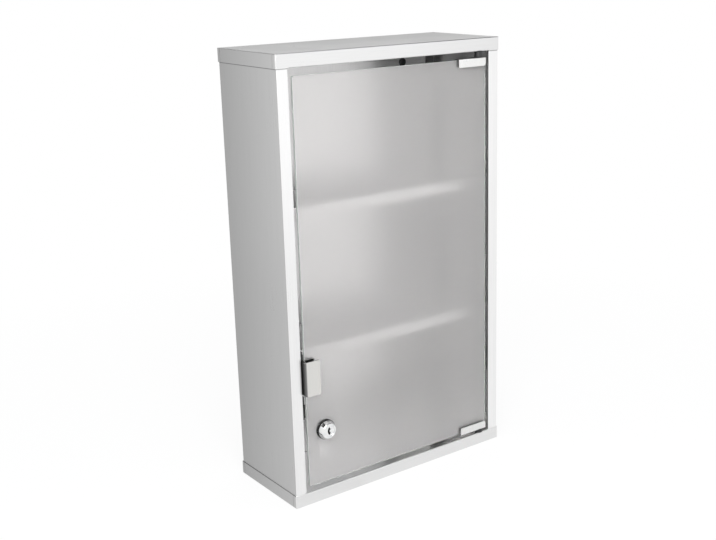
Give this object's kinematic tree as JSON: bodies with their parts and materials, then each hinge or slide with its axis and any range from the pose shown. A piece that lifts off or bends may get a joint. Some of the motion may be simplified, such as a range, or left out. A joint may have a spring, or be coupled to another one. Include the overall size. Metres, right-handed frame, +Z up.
{
  "type": "medicine cabinet",
  "caption": "Slim wall cabinet in folded stainless steel with shelves and a frosted glass door on pivot hinges, held by a magnetic catch and a cam lock.",
  "frame": {"origin": "centre of the base's underside, in plan the centre of the cabinet body without the lock", "axes": "+Z up, +Y towards the wall, +X to the right as seen from the front; the door faces -Y"},
  "size_m": [0.3, 0.126, 0.5],
  "materials": {
    "polished_stainless": "polished stainless sheet",
    "stainless_sheet": "fine brushed stainless sheet",
    "polished_fittings": "polished",
    "chrome_lock": "bright chrome plate",
    "zinc_plated_steel": "zinc plated",
    "black_oxide_steel": "black oxide",
    "frosted_glass": "frosted on the back face, ground edges",
    "black_nylon": "moulded",
    "black_plastic": "moulded",
    "ferrite": "sintered",
    "black_rubber": "moulded",
    "grey_pad": "cut from sheet"
  },
  "bodies": {
    "cabinet": {"top_cap": "polished_stainless", "bottom_cap": "polished_stainless", "left_side_panel": "stainless_sheet", "right_side_panel": "stainless_sheet", "back_panel": "stainless_sheet", "upper_shelf": "stainless_sheet", "lower_shelf": "stainless_sheet", "upper_pivot_bush": "black_nylon", "lower_pivot_bush": "black_nylon", "catch_housing": "black_plastic", "catch_magnet": "ferrite", "catch_pole_plates": "zinc_plated_steel", "catch_screws": "zinc_plated_steel", "door_buffer": "black_rubber"},
    "door": {"door_glass": "frosted_glass", "upper_hinge_clip": "polished_fittings", "lower_hinge_clip": "polished_fittings", "upper_hinge_pads": "grey_pad", "lower_hinge_pads": "grey_pad", "hinge_grub_screws": "black_oxide_steel", "upper_pivot_pin": "zinc_plated_steel", "lower_pivot_pin": "zinc_plated_steel", "handle_clip": "polished_fittings", "handle_pads": "black_rubber", "handle_grub_screws": "black_oxide_steel", "lock_housing": "chrome_lock", "lock_gaskets": "black_rubber", "lock_nut": "zinc_plated_steel"},
    "lock_core": {"lock_plug": "chrome_lock", "lock_cam": "zinc_plated_steel", "cam_screw": "zinc_plated_steel"}
  },
  "joints": [
    {"name": "door_swing", "type": "hinge", "parent": "cabinet", "child": "door", "pos_m": [0.1214, -0.0564, 0.25], "axis": [0, 0, 1], "range_deg": [0, 135]},
    {"name": "lock_turn", "type": "hinge", "parent": "door", "child": "lock_core", "pos_m": [-0.106, -0.0564, 0.0835], "axis": [0, 1, 0], "range_deg": [0, 90]}
  ]
}
